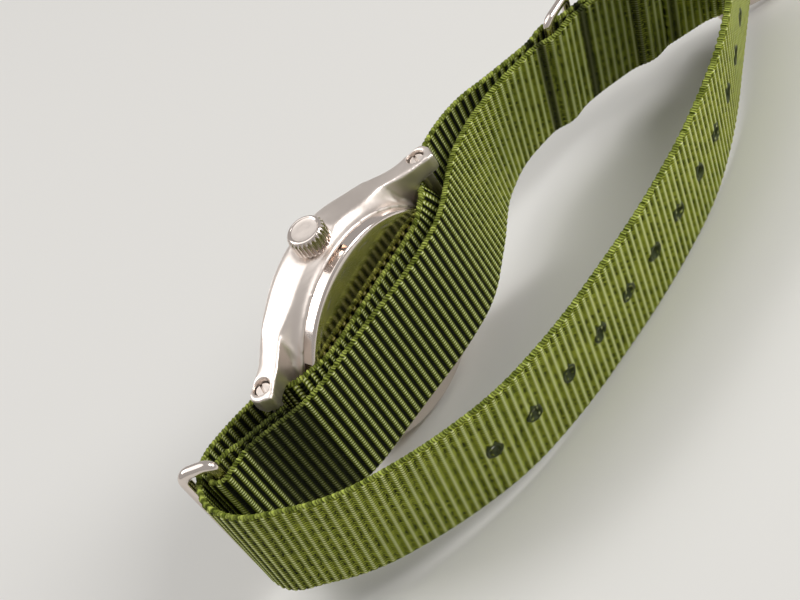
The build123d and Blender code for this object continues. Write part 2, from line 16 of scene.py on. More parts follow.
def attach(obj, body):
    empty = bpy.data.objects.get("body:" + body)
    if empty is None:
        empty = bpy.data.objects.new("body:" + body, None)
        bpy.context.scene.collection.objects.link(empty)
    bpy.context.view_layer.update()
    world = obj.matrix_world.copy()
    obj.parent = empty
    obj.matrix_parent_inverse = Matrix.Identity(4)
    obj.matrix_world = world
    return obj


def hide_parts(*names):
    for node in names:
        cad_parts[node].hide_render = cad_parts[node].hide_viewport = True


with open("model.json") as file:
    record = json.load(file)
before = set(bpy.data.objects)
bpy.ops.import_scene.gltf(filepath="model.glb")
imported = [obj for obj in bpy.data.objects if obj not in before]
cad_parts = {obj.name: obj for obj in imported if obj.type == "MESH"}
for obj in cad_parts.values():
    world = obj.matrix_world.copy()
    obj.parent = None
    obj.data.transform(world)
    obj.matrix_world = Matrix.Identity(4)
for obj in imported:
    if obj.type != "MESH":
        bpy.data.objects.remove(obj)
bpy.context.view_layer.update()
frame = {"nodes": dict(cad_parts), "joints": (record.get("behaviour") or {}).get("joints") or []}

# %% [markdown]
# ## The head's own axes
# The watch leans on the floor, so its round parts are awkward to describe there. A real
# watchmaker thinks in the head's axes: X out of the crown, Y to 12 o'clock, Z out of the dial.
# They could be typed in as a matrix, but the joints already carry them: the crown slides along X
# and the hands turn about Z. Reading them from there keeps every piece true to the CAD.

# %% Head axes from the joints
joints = {joint["name"]: joint for joint in frame["joints"]}
X = Vector(joints["crown_pull"]["axis"]).normalized()
Z = -Vector(joints["minute_turn"]["axis"]).normalized()
Y = Z.cross(X).normalized()
MINUTE_LEVEL = 3.4
centre = Vector(joints["minute_turn"]["pos_m"]) - MINUTE_LEVEL * 0.001 * Z
axes = np.array([X, Y, Z])
print("dial centre in mm", [round(c * 1000, 2) for c in centre])


def placed(points):
    """Row-frame metres from head millimetres: centre + x X + y Y + z Z."""
    return np.asarray(points, dtype=float) @ axes * 0.001 + np.array(centre)


def head_points(mesh):
    """A mesh's vertices in head millimetres: (vertex - centre) along X, Y and Z, times 1000."""
    flat = np.zeros(3 * len(mesh.vertices))
    mesh.vertices.foreach_get("co", flat)
    return (flat.reshape(-1, 3) - np.array(centre)) @ axes.T * 1000


# %% [markdown]
# ## Camera, floor and light
# The photograph looks down on the case back from beyond the loop, with the camera rolled far over.
# The place and the three directions below come from fitting the strap's known width, and are
# given in head millimetres. The floor is plain and pale. The lamps are large and soft, because
# polished steel shows whatever surrounds it.

# %% Camera
EYE = (197.007, -94.640, -182.212)
RIGHT = (-0.42489, 0.51109, -0.74716)
DOWN = (-0.58294, -0.78594, -0.20611)
VIEW = (-0.69256, 0.34798, 0.63188)
camera_data = bpy.data.cameras.new("camera")
camera_data.sensor_width = 36
camera_data.lens = 88.3
camera_data.clip_start = 0.01
camera = bpy.data.objects.new("camera", camera_data)
bpy.context.collection.objects.link(camera)
turn = np.array([RIGHT, -np.array(DOWN), -np.array(VIEW)]) @ axes
place = Matrix([list(column) for column in turn.T]).to_4x4()
place.translation = Vector(placed(EYE))
camera.matrix_world = place
bpy.context.scene.camera = camera
bpy.context.scene.view_settings.view_transform = "Standard"
print("camera height in mm", round(place.translation.z * 1000, 1))


# %% Nodes and colours
def add(tree, kind, inputs=None, **settings):
    """Adds a node: settings are its own properties, inputs are values or links by socket.

    A socket is named, or counted from 0. On a Mix node 2 and 3 are its two numbers, 6 and 7 its
    two colours. On a Map Range node 1 and 2 are the range read, 3 and 4 the range given.
    """
    made = tree.nodes.new(kind)
    for name, value in settings.items():
        setattr(made, name, value)
    for socket, value in (inputs or {}).items():
        if isinstance(value, bpy.types.NodeSocket):
            tree.links.new(value, made.inputs[socket])
        else:
            made.inputs[socket].default_value = value
    return made


def linear(code):
    """Linear RGBA from an sRGB hex code: c/12.92 in the darks, ((c+0.055)/1.055)^2.4 above."""
    parts = [int(code[i:i + 2], 16) / 255 for i in (1, 3, 5)]
    return [c / 12.92 if c <= 0.04045 else ((c + 0.055) / 1.055) ** 2.4 for c in parts] + [1.0]


def finish_named(name):
    """A new material, its node tree and its shader."""
    made = bpy.data.materials.new(name)
    made.use_nodes = True
    return made, made.node_tree, made.node_tree.nodes["Principled BSDF"]


# %% Floor
paper, tree, shader = finish_named("matt_paper")
shader.inputs["Base Color"].default_value = linear("#dedcd8")
shader.inputs["Roughness"].default_value = 0.9
sheet = bpy.data.meshes.new("floor")
sheet.from_pydata([(-3, -3, 0), (3, -3, 0), (3, 3, 0), (-3, 3, 0)], [], [(0, 1, 2, 3)])
sheet.materials.append(paper)
floor = bpy.data.objects.new("floor", sheet)
bpy.context.collection.objects.link(floor)
print("floor", floor.name, paper.name)

# %% World
# what the camera and the metal see of the room is pale, though it lights the object only weakly
ROOM_LIGHT = 0.20
ROOM_SEEN = 0.50
world = bpy.data.worlds.new("studio")
bpy.context.scene.world = world
world.use_nodes = True
sky = world.node_tree
background = sky.nodes["Background"]
background.inputs["Color"].default_value = linear("#f2f0ee")
rays = add(sky, "ShaderNodeLightPath")
straight = add(sky, "ShaderNodeMath", {0: rays.outputs["Is Camera Ray"],
                                       1: rays.outputs["Is Glossy Ray"]}, operation="MAXIMUM")
strength = add(sky, "ShaderNodeMapRange", {0: straight.outputs[0], "To Min": ROOM_LIGHT,
                                           "To Max": ROOM_SEEN})
sky.links.new(strength.outputs[0], background.inputs["Strength"])
print("room light", ROOM_LIGHT, "as seen", ROOM_SEEN)

# %% Lamps
LAMP_TARGET = Vector((0.0, 0.0, 0.02))


def softbox(name, place, size, power):
    """A square lamp turned towards the watch; sizes in metres, power in watts."""
    lamp = bpy.data.lights.new(name, "AREA")
    lamp.shape = "SQUARE"
    lamp.size = size
    lamp.energy = power
    made = bpy.data.objects.new(name, lamp)
    made.location = place
    made.rotation_euler = (LAMP_TARGET - Vector(place)).to_track_quat("-Z", "Y").to_euler()
    bpy.context.collection.objects.link(made)


softbox("key", (-0.42, 0.46, 0.42), 0.30, 3.7)
softbox("front", (0.27, -0.42, 0.52), 0.34, 1.7)
# a wide, weak sun keeps the floor even out to the horizon
even_light = bpy.data.lights.new("ceiling", "SUN")
even_light.energy = 0.9
even_light.angle = math.radians(60)
ceiling = bpy.data.objects.new("ceiling", even_light)
ceiling.rotation_euler = (math.radians(12), math.radians(8), 0)
bpy.context.collection.objects.link(ceiling)
print("lamps", len(bpy.data.lights))

# %% [markdown]
# ## Steel
# The case and lugs are stainless steel with a satin finish: the surface is drawn over a fine
# belt, which leaves parallel scratches a few hundredths of a millimetre apart. The back, crown
# rim, rings and buckle are polished. Both are the same metal, so they share one colour, warm and
# pale, and differ only in roughness and in the scratches.

# %% Steel as a material
# a pattern's scale is in cells per metre: a cloudy patch is 7 mm across
CLOUD_SCALE = 140.0


def steel(name, colours, roughness, grain, depth):
    """Stainless steel: noise stretched along the grain shades the roughness and the bump.

    grain is in cells per metre along each axis, and depth is the scratches' height in metres.
    """
    made, tree, shader = finish_named(name)
    where = add(tree, "ShaderNodeTexCoord").outputs["Object"]
    drawn = add(tree, "ShaderNodeMapping", {"Vector": where, "Scale": grain})
    lines = add(tree, "ShaderNodeTexNoise", {"Vector": drawn.outputs[0], "Scale": 1.0,
                                             "Detail": 3.0})
    cloud = add(tree, "ShaderNodeTexNoise", {"Vector": where, "Scale": CLOUD_SCALE,
                                             "Detail": 2.0})
    both = add(tree, "ShaderNodeMath", {0: lines.outputs[0], 1: cloud.outputs[0]},
               operation="ADD")
    rough = add(tree, "ShaderNodeMapRange", {0: both.outputs[0], 1: 0.6, 2: 1.4,
                                             3: roughness * 0.8, 4: roughness * 1.25})
    tone = add(tree, "ShaderNodeMix", {0: cloud.outputs[0], 6: linear(colours[0]),
                                       7: linear(colours[1])}, data_type="RGBA")
    bump = add(tree, "ShaderNodeBump", {"Height": lines.outputs[0], "Strength": 0.5,
                                        "Distance": depth})
    tree.links.new(tone.outputs[2], shader.inputs["Base Color"])
    tree.links.new(rough.outputs[0], shader.inputs["Roughness"])
    tree.links.new(bump.outputs[0], shader.inputs["Normal"])
    shader.inputs["Metallic"].default_value = 1.0
    return made


# %% Satin and polished steel
# the belt runs round the flank, so the scratches are long in the floor's plane and close in
# height: 1.1 mm long and 0.11 mm apart, which is coarser than the real ones, so that they show
satin = steel("satin_stainless_steel", ("#e6dad1", "#f0e7e0"), 0.38, (900, 900, 9000), 0.000004)
# polishing leaves no grain, only a ripple of 3.3 mm
polish = steel("polished_stainless_steel", ("#d8ccc4", "#e6dcd5"), 0.14, (300, 300, 300),
               0.000001)
print("steel finishes", satin.name, polish.name)

# %% [markdown]
# ## Soft edges on the machined pieces
# No machined edge is truly sharp: deburring leaves a radius of a tenth of a millimetre or more,
# and that radius is what catches the light. The pieces whose shape is right are copied from the
# CAD, their loose triangles are merged, and a Bevel modifier rounds every edge.


# %% A mesh made a piece
def new_piece(name, mesh, body, material):
    """Puts a mesh into the scene in its material, riding a body, with its finish slot."""
    mesh.materials.append(material)
    made = bpy.data.objects.new(name, mesh)
    bpy.context.collection.objects.link(made)
    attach(made, body)
    return made


# %% A rounded copy of a CAD piece
MERGE = 2e-6
FLAT_TURN = math.radians(0.4)
SHARP_TURN = math.radians(28)


def rounded_copy(node, name, body, material, width):
    """The node's mesh, merged, flat faces rejoined, edges bevelled by a width in mm, if any."""
    shape = bmesh.new()
    shape.from_mesh(frame["nodes"][node].data)
    bmesh.ops.remove_doubles(shape, verts=shape.verts, dist=MERGE)
    bmesh.ops.dissolve_limit(shape, angle_limit=FLAT_TURN, verts=shape.verts, edges=shape.edges)
    mesh = bpy.data.meshes.new(name)
    shape.to_mesh(mesh)
    shape.free()
    mesh.shade_smooth()
    mesh.set_sharp_from_angle(angle=SHARP_TURN)
    made = new_piece(name, mesh, body, material)
    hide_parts(node)
    if width:
        edge = made.modifiers.new("deburred", "BEVEL")
        edge.width = width * 0.001
        edge.segments = 3
        edge.limit_method = "ANGLE"
        edge.angle_limit = SHARP_TURN
        edge.harden_normals = True
    return made


# %% Case, screws, bezel, buckle and tongue
case = rounded_copy("mid_case", "case_with_lugs", "watch", satin, 0)
screws = rounded_copy("lug_screws", "slotted_screws", "watch", satin, 0.07)
bezel = rounded_copy("bezel", "sloped_bezel", "watch", polish, 0.12)
cast_frame = rounded_copy("buckle_frame", "cast_buckle", "frame", polish, 0.30)
tongue = rounded_copy("buckle_tongue", "bent_tongue", "tongue", polish, 0.22)
print("copies", [piece.name for piece in (case, screws, bezel, cast_frame, tongue)])


# %% Faces of a grid
def grid_faces(rows, columns, ends=False):
    """Four-cornered faces of a grid of points, numbered row after row, each row a closed loop.

    A face joins point k and k + 1 of a row to those of the next row. ends closes the first and
    the last row with one face each.
    """
    index = np.arange(rows * columns).reshape(rows, columns)
    beside = np.roll(index, -1, axis=1)
    quads = np.stack([index[:-1], beside[:-1], beside[1:], index[1:]], axis=-1).reshape(-1, 4)
    faces = [tuple(q) for q in quads.tolist()]
    if ends:
        faces.append(tuple(index[0][::-1].tolist()))
        faces.append(tuple(index[-1].tolist()))
    return faces


# %% [markdown]
# ## The flowing case
# The case and its lugs are forged, ground and drawn over a belt, so the lugs flow out of the flank
# with no kink. Bevels of one width can't do that. The copy is rebuilt here as an even skin of
# small cells, its points are moved to the flowing lines, and a few rounds of smoothing let
# neighbouring faces run into each other.

# %% Seat of the bezel
# the seat is carried over the dips between the lugs: one closed wall on each side, its section
# in (distance from the axis, height), turned through a quarter and a little more
SEAT = np.array([(15.75, -0.9), (17.85, -0.9), (17.85, 4.45), (16.0, 4.45), (15.1, 2.6),
                 (15.75, 2.6)])
SEAT_HALF_TURN = 47
SEAT_STEPS = 95
whole = bmesh.new()
whole.from_mesh(case.data)
for middle in (90, 270):
    turn = np.linspace(middle - SEAT_HALF_TURN, middle + SEAT_HALF_TURN, SEAT_STEPS)
    turn = np.radians(turn)[:, None]
    wall = np.stack([SEAT[:, 0] * np.cos(turn), SEAT[:, 0] * np.sin(turn),
                     SEAT[:, 1] + 0 * turn], axis=-1)
    arc = bpy.data.meshes.new("seat_wall")
    arc.from_pydata(placed(wall.reshape(-1, 3)).tolist(), [],
                    grid_faces(*wall.shape[:2], ends=True))
    whole.from_mesh(arc)
    bpy.data.meshes.remove(arc)
whole.to_mesh(case.data)
whole.free()
print("case faces before the skin", len(case.data.polygons))

# %% Even skin
# cells of 0.2 mm, in metres: at this size the skin is one closed shell
SKIN_CELL = 0.000209
skin = case.modifiers.new("even_skin", "REMESH")
skin.mode = "VOXEL"
skin.voxel_size = SKIN_CELL
skin.use_smooth_shade = True
even = bpy.data.meshes.new_from_object(case.evaluated_get(bpy.context.evaluated_depsgraph_get()))
case.modifiers.clear()
case.data = even
print("case faces", len(even.polygons))

# %% Flowing outline of the case
# radius of the round body, half distance over the lugs, and where the flowing line starts
ROUND = 18.7
LUG_SIDE = 13.07
FLOW_START = 8.0
# the top, side on: (distance from the middle towards 12 or 6 o'clock), (height)
TOP_ALONG = [0, 13.4, 17.6, 20.0, 22.9]
TOP_HEIGHT = [4.4, 4.4, 0.9, 0.3, -0.6]


def eased_between(value, start, end):
    """0 before start, 1 after end, and a smooth rise s s (3 - 2 s) between."""
    s = np.clip((value - start) / (end - start), 0, 1)
    return s * s * (3 - 2 * s)


head = head_points(even)
long_way = np.abs(head[:, 1])
past = long_way - FLOW_START
top = np.interp(long_way, TOP_ALONG, TOP_HEIGHT)
# seen from the dial: the round body, then the straight lug; and the flowing line, a parabola that
# leaves the round 8 mm along and reaches the lug near its tip
corner = np.sqrt(np.maximum(ROUND ** 2 - long_way ** 2, LUG_SIDE ** 2))
flowing = 16.9 - 0.47 * past + 0.01426 * past ** 2
push = np.where(past > 0, np.maximum(flowing - corner, 0), 0) * (long_way < 22)
low = -1.5 - 5.0 * eased_between(long_way, 13.0, 15.5)
outside = eased_between(np.abs(head[:, 0]), corner - 2.4, corner - 0.3)
below_top = 1 - eased_between(head[:, 2], top - 1.5, top + 0.4)
above_low = eased_between(head[:, 2], low, low + 0.7)
head[:, 0] += push * outside * below_top * above_low * np.sign(head[:, 0])
limit = np.where((long_way > 9) & (long_way < 20), flowing, 99.0)
head[:, 0] = np.minimum(np.abs(head[:, 0]), limit) * np.sign(head[:, 0])
print("widest push in mm", round(float(push.max()), 2))

# %% Top and tips of the lugs
# side on, the top falls in one curve instead of two straight runs
curve = 4.4 - 4.1 * eased_between(long_way, 11.3, 20.5)
from_axis = np.hypot(head[:, 0], head[:, 1])
near_top = eased_between(head[:, 2], top - 3.0, top - 0.2) * np.clip((from_axis - 17.7) / 0.8, 0, 1)
near_top *= eased_between(np.abs(head[:, 0]), 10.4, 11.4)
head[:, 2] += (curve - top) * near_top * (long_way < 20.5)
# the tip's lower corner is drawn in, as hand polishing leaves it
tip = np.clip((long_way - 20.4) / 2.2, 0, 1) * np.clip((-2.6 - head[:, 2]) / 2.2, 0, 1)
head[:, 1] -= 0.8 * tip * np.sign(head[:, 1])
head[:, 2] += 1.2 * tip
even.vertices.foreach_set("co", placed(head).ravel())
flow = case.modifiers.new("drawn_smooth", "SMOOTH")
flow.factor = 0.5
flow.iterations = 24
print("smoothing rounds", flow.iterations)

# %% Screws in their holes
# each screw is a little smaller than its hole and sits below the flank, so a dark ring shows
SCREW_ALONG, SCREW_LEVEL = 20.6, -1.6
SCREW_SHARE = 0.86
SCREW_SUNK = 0.34
head = head_points(screws.data)
spot = np.column_stack([SCREW_ALONG * np.sign(head[:, 1]), np.full(len(head), SCREW_LEVEL)])
head[:, 1:] = spot + SCREW_SHARE * (head[:, 1:] - spot)
head[:, 0] -= SCREW_SUNK * np.sign(head[:, 0])
screws.data.vertices.foreach_set("co", placed(head).ravel())
print("screw points", len(head))


# %% A grid made into a piece
def grid_piece(name, points, body, material, ends=False, uv=None):
    """A piece from a grid of head points; uv is a grid of the same size with two values each."""
    mesh = bpy.data.meshes.new(name)
    mesh.from_pydata(placed(points.reshape(-1, 3)).tolist(), [],
                     grid_faces(*points.shape[:2], ends=ends))
    if uv is not None:
        corner = np.zeros(len(mesh.loops), dtype=np.int32)
        mesh.loops.foreach_get("vertex_index", corner)
        layer = mesh.uv_layers.new(name="weave")
        layer.data.foreach_set("uv", uv.reshape(-1, 2)[corner].astype(np.float32).ravel())
    mesh.shade_smooth()
    return new_piece(name, mesh, body, material)


# %% [markdown]
# ## The webbing's path
# The strap is one flat band that bends and slowly twists. Its path is drawn side on, in the
# head's Y and Z, with each corner rounded by an arc. The band lies across X at the head and
# across a slightly leaning line round the loop, so each point of the path also has a direction
# across. The same points and radii shaped the CAD solids.

# %% Points of the three runs
UPPER = [(68.50, -10.72), (75.09, -13.95), (77.14, -15.92), (80.19, -17.41), (81.50, -14.71),
         (78.45, -13.22), (75.63, -12.83), (68.76, -9.44), (66.30, -7.16), (62.96, -6.74),
         (57.22, -4.32), (53.24, -2.97), (50.50, -1.03), (47.14, -1.04), (41.50, 0.50),
         (34.00, 2.30), (27.50, 1.90), (19.00, 0.05), (18.95, -5.95), (0.00, -5.95)]
UPPER_RADII = {3: 1.48, 4: 1.48, 17: 1.6, 18: 2.2}
TAIL = [(0.00, -5.95), (-18.95, -5.95), (-19.00, 0.35), (-25.00, 2.50), (-32.60, 3.75),
        (-38.11, -0.95), (-39.00, -8.20), (-31.30, -18.10), (-20.00, -25.00), (-8.50, -29.80),
        (4.50, -31.90), (25.00, -32.70), (42.00, -31.60), (57.00, -28.10), (87.15, -15.61),
        (74.40, -9.87), (66.80, -6.07), (63.78, -4.99)]
TAIL_RADII = {1: 2.2, 2: 1.6, 14: 3.15}
SHORT = [(-20.70, -4.25), (-28.10, -0.95), (-30.70, 0.63), (-34.65, 0.63), (-34.65, -2.45),
         (-28.30, -2.45), (-18.50, -7.50), (-9.00, -8.10), (4.00, -9.50), (13.35, -9.25),
         (25.70, -3.65), (31.50, -1.45), (38.50, -0.75), (46.76, -2.23), (49.50, -4.17),
         (52.86, -4.16), (56.78, -5.48), (62.44, -7.86), (64.90, -10.15), (68.24, -10.57)]
SHORT_RADII = {3: 1.53, 4: 1.53}
print("points of the runs", len(UPPER), len(TAIL), len(SHORT))

# %% Rounded path
EASED_SHARE = 0.45
ARC_STEP = 0.05


def length_along(line):
    """Length from the start to each point: the sum of the steps."""
    return np.concatenate([[0], np.cumsum(np.hypot(*np.diff(line, axis=0).T))])


def eased(points, fixed):
    """Close-set points along a path whose corners are arcs.

    An arc of radius r that turns by 2h starts r tan(h) before its corner. A corner with no
    fixed radius gets the one that uses EASED_SHARE of its shorter run.
    """
    points = np.array(points)
    line = [points[:1]]
    for i in range(1, len(points) - 1):
        before, after = points[i] - points[i - 1], points[i + 1] - points[i]
        shorter = min(np.hypot(*before), np.hypot(*after))
        before, after = before / np.hypot(*before), after / np.hypot(*after)
        turned = math.atan2(before[0] * after[1] - before[1] * after[0], before @ after)
        radius = fixed.get(i, EASED_SHARE * shorter / math.tan(abs(turned) / 2))
        left = np.array([-before[1], before[0]]) * math.copysign(1, turned)
        start = points[i] - before * radius * math.tan(abs(turned) / 2)
        steps = max(4, int(abs(turned) * radius / ARC_STEP))
        angle = np.linspace(0, abs(turned), steps)[:, None]
        line.append(start + radius * (np.sin(angle) * before + (1 - np.cos(angle)) * left))
    line.append(points[-1:])
    return np.concatenate(line)


# %% Direction across the band
LOOP_LINE = np.array([0.985557, 0.044754, -0.163326])
LOOP_OFFSET = 0.83
LOOP_MIDDLE = (20.0, -16.0)
UPPER_LEAN = 1.45
TAIL_LEAN = 0.45


def turned_share(side):
    """Share of the loop's lean that the band has at a side-on point, by its bearing."""
    bearing = np.arctan2(side[:, 1] - LOOP_MIDDLE[1], side[:, 0] - LOOP_MIDDLE[0])
    bearing = np.degrees(bearing) % 360
    upper = UPPER_LEAN * (1 - eased_between(bearing, 28, 75))
    rest = eased_between(bearing, 165, 179) + TAIL_LEAN * eased_between(bearing, 325, 350)
    return np.where(bearing < 120, upper, rest)


def band_frame(line, length, at):
    """Middle point, direction across and outward normal of the band at lengths along its path."""
    side = np.stack([np.interp(at, length, line[:, 0]), np.interp(at, length, line[:, 1])], axis=1)
    share = turned_share(side)[:, None]
    shift = (LOOP_OFFSET - side @ LOOP_LINE[1:]) / LOOP_LINE[0]
    middle = np.column_stack([np.minimum(share[:, 0], 1) * shift, side])
    across = (1 - share) * np.array([1.0, 0, 0]) + share * LOOP_LINE
    across /= np.linalg.norm(across, axis=1, keepdims=True)
    ahead = np.gradient(middle, axis=0)
    normal = np.cross(ahead, across)
    normal /= np.linalg.norm(normal, axis=1, keepdims=True)
    return middle, across, normal


# %% [markdown]
# ## Ribbed nylon webbing
# Real webbing has thick weft cords across it, packed under fine warp yarns that run along it.
# Each cord shows as a rib, 1.35 mm from the next, and the yarns as short slanted threads over
# each rib. The edge is a woven cord of its own. A texture alone would look printed on from the
# side, so the ribs are in the mesh, six rows to a rib, and only the yarns are left to the bump.

# %% Ribs
RIB = 1.35
ROWS = 6
HALF_WIDTH = 10.0
# half thickness over a cord and between two cords
CREST = 0.60
VALLEY = 0.28


def rib_height(at):
    """Half thickness along the band: valley + (crest - valley) |sin(pi at / rib)|."""
    return VALLEY + (CREST - VALLEY) * np.abs(np.sin(np.pi * at / RIB))


print("band in mm", 2 * HALF_WIDTH, "wide", 2 * CREST, "thick")

# %% Section of the band
# share by which sewn ribs sink, and the woven edge: its width, its half thickness and its waves
PRESSED = 0.35
FACE_POINTS = 24
EDGE_ROUND = 0.45
EDGE_THICK = 0.42
EDGE_WAVE = 0.05
EDGE_SWAY = 0.09


def band_section(at, width, flattened):
    """Across and normal offsets of the closed section: two ribbed faces, two round edges.

    The edges swell and sway twice in each rib, with cos(4 pi at / rib). Where the band is sewn,
    flattened is 1 and the ribs sink by about a third.
    """
    share = np.linspace(-1, 1, FACE_POINTS)
    flat = np.sign(share) * (1 - (1 - np.abs(share)) ** 1.15) * (width[:, None] - EDGE_ROUND)
    sunk = 1 - PRESSED * flattened
    height = (rib_height(at) * sunk)[:, None] * np.ones_like(flat)
    other = (rib_height(at + RIB / 2) * sunk)[:, None] * np.ones_like(flat)
    beat = np.cos(4 * np.pi * at / RIB)[:, None]
    swell = EDGE_THICK + EDGE_WAVE * beat
    bend = np.linspace(90, -90, 7)[1:-1][None, :] * np.pi / 180
    reach = (width[:, None] - EDGE_ROUND) + (swell + EDGE_SWAY * beat) * np.cos(bend)
    rise = swell * np.sin(bend)
    across = np.concatenate([flat, reach, flat[:, ::-1], -reach], axis=1)
    normal = np.concatenate([height, rise, -other[:, ::-1], -rise], axis=1)
    return across, normal


# %% Seams
# where the layers are sewn: middle (Y, Z), reach and how strongly it is pressed; a seam through
# two layers has a spot on each
SEAMS = [((46.7, -0.9), 0.35, 1.0), ((47.1, -2.5), 0.45, 0.88),
         ((55.9, -3.9), 0.35, 1.0), ((55.4, -5.0), 0.45, 0.92),
         ((64.2, -6.9), 0.35, 1.0), ((63.4, -8.8), 0.45, 0.8),
         ((69.6, -11.3), 0.45, 0.75)]
# the short layer is also flattened by its fold and between those seams; the two spots between the
# seams also darken it in the material, and that darkening is painted shade
BOX_SEAM_AND_SHADE = [((-24.5, -4.6), 4.6, 0.75), ((63.9, -9.4), 8.2, 0.42), ((51.2, -4.2), 3.8, 0.15)]
SEAM_EASE = 0.7


def away_from(spot, middle):
    """Side-on distance of the band's middle points from a spot: hypot(Y - spot Y, Z - spot Z)."""
    return np.hypot(middle[:, 1] - spot[0], middle[:, 2] - spot[1])


def sewn_share(middle, seams):
    """A seam's strength within its reach of its middle, easing to 0 over half a rib."""
    made = np.zeros(len(middle))
    for spot, reach, strength in seams:
        fade = eased_between(away_from(spot, middle), reach, reach + SEAM_EASE)
        made = np.maximum(made, strength * (1 - fade))
    return made


# %% Tucked edges
# where the edges of the long band tuck in beside the round back: (Y, Z), direction, depth
TUCKS = [((18.3, -5.3), (-0.49, 0.87), 2.6), ((-18.3, -5.3), (0.49, 0.87), 2.6)]
TUCK_REACH = 4.6


def tucked(middle, u, tucks):
    """Sideways shift of the edges: depth e^-(distance/reach)^2 (|u| / half width)^2.5."""
    made = np.zeros(u.shape + (3,))
    for spot, way, depth in tucks:
        near = np.exp(-(away_from(spot, middle) / TUCK_REACH) ** 2)
        pull = depth * near[:, None] * (np.abs(u) / HALF_WIDTH) ** 2.5
        made += pull[..., None] * np.array([0.0, *way])
    return made


# %% A band of webbing
TIP_LENGTH = 6.0
TIP_NARROWING = 6.0


def webbing(name, runs, tip, node, material, seams, tucks, tight_over):
    """A band of ribs along its runs; with a tip, its last 6 mm round off on both sides.

    tight_over holds four lengths in mm: the cords are packed tight, and their valleys closed,
    before the first and past the last, and loose between the second and the third.
    """
    lines = [eased(points, fixed) for points, fixed in runs]
    line = np.concatenate([lines[0]] + [more[1:] for more in lines[1:]])
    if tip:
        heading = (line[-1] - line[-2]) / np.hypot(*(line[-1] - line[-2]))
        line = np.concatenate([line, [line[-1] + heading * TIP_LENGTH]])
    length = length_along(line)
    at = np.linspace(0, length[-1], int(length[-1] / RIB * ROWS))
    middle, across, normal = band_frame(line, length, at)
    past = np.clip((at - (length[-1] - TIP_LENGTH)) / TIP_LENGTH, 0, 1) if tip else 0 * at
    width = HALF_WIDTH - TIP_NARROWING * (1 - np.sqrt(np.clip(1 - past ** 2, 0, 1)))
    sewn = sewn_share(middle, seams)
    u, w = band_section(at, width, sewn)
    points = middle[:, None] + u[..., None] * across[:, None] + w[..., None] * normal[:, None]
    points += tucked(middle, u, tucks)
    weave = np.stack([u, at[:, None] * np.ones_like(u)], axis=-1)
    made = grid_piece(name, points, "watch", material, ends=True, uv=weave)
    tight = 1 - eased_between(at, *tight_over[:2]) + eased_between(at, *tight_over[2:])
    for title, values in (("sewn", sewn), ("tight", tight)):
        layer = made.data.attributes.new(title, "FLOAT", "POINT")
        spread = values[:, None] * np.ones_like(u)
        layer.data.foreach_set("value", spread.ravel().astype(np.float32))
    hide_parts(node)
    print(name, "length in mm", round(length[-1], 1), "rows", len(at))
    return made, line, length


# %% [markdown]
# ## Dyed nylon
# The yarns are solution-dyed nylon 6.6, olive green, with the soft gloss of bundled filaments.
# The pattern reads the piece's own UV map, which holds millimetres across and along the band, so
# the yarns follow every bend. Each yarn is 0.50 mm wide and passes over every second cord, and
# its colour differs a little from its neighbours'.

# %% Ribs and yarns
YARN = 0.50
YARN_LEAN = 0.45
YARN_SHIFT = 0.5
nylon, tree, shader = finish_named("dyed_nylon_webbing")
weave = add(tree, "ShaderNodeUVMap", uv_map="weave").outputs[0]
split = add(tree, "ShaderNodeSeparateXYZ", {0: weave})
u, v = split.outputs[0], split.outputs[1]


def row_parts(place):
    """Of a place p counted in threads: number floor(p), share p - floor(p), crest sin(pi share)."""
    number = add(tree, "ShaderNodeMath", {0: place}, operation="FLOOR").outputs[0]
    share = add(tree, "ShaderNodeMath", {0: place}, operation="FRACT").outputs[0]
    turn = add(tree, "ShaderNodeMath", {0: share, 1: math.pi}, operation="MULTIPLY").outputs[0]
    crest = add(tree, "ShaderNodeMath", {0: turn}, operation="SINE").outputs[0]
    return number, share, crest


ribs = add(tree, "ShaderNodeMath", {0: v, 1: RIB}, operation="DIVIDE").outputs[0]
rib_number, rib_share, rib_crest = row_parts(ribs)
# each yarn leans by nearly half its width over one rib, and starts half a width on at the next
step = add(tree, "ShaderNodeMath", {0: rib_number, 1: YARN_SHIFT}, operation="MULTIPLY").outputs[0]
lean = add(tree, "ShaderNodeMath", {0: rib_share, 1: YARN_LEAN, 2: step},
           operation="MULTIPLY_ADD").outputs[0]
yarns = add(tree, "ShaderNodeMath", {0: u, 1: 1 / YARN, 2: lean},
            operation="MULTIPLY_ADD").outputs[0]
yarn_number, _, yarn_crest = row_parts(yarns)
cell = add(tree, "ShaderNodeCombineXYZ", {0: yarn_number, 1: rib_number}).outputs[0]
chance = add(tree, "ShaderNodeTexWhiteNoise", {"Vector": cell}, noise_dimensions="3D").outputs[0]
print("ribs and yarns", len(tree.nodes), "nodes")

# %% Edge cord
# the woven edge is a row of slanted dashes 0.45 mm apart
EDGE_START = 9.7
EDGE_EASE = 0.1
DASH = 0.45
DASH_SLANT = 0.7
outer = add(tree, "ShaderNodeMath", {0: u}, operation="ABSOLUTE").outputs[0]
at_edge = add(tree, "ShaderNodeMapRange", {0: outer, 1: EDGE_START - EDGE_EASE,
                                           2: EDGE_START + EDGE_EASE}).outputs[0]
slant = add(tree, "ShaderNodeMath", {0: outer, 1: DASH_SLANT, 2: v},
            operation="MULTIPLY_ADD").outputs[0]
dash_turn = add(tree, "ShaderNodeMath", {0: slant, 1: 2 * math.pi / DASH},
                operation="MULTIPLY").outputs[0]
dash_place = add(tree, "ShaderNodeMath", {0: slant, 1: DASH}, operation="DIVIDE").outputs[0]
dash_number = add(tree, "ShaderNodeMath", {0: dash_place}, operation="FLOOR").outputs[0]
dash_chance = add(tree, "ShaderNodeTexWhiteNoise", {"W": dash_number},
                  noise_dimensions="1D").outputs[0]
dash_wave = add(tree, "ShaderNodeMath", {0: dash_turn}, operation="SINE").outputs[0]
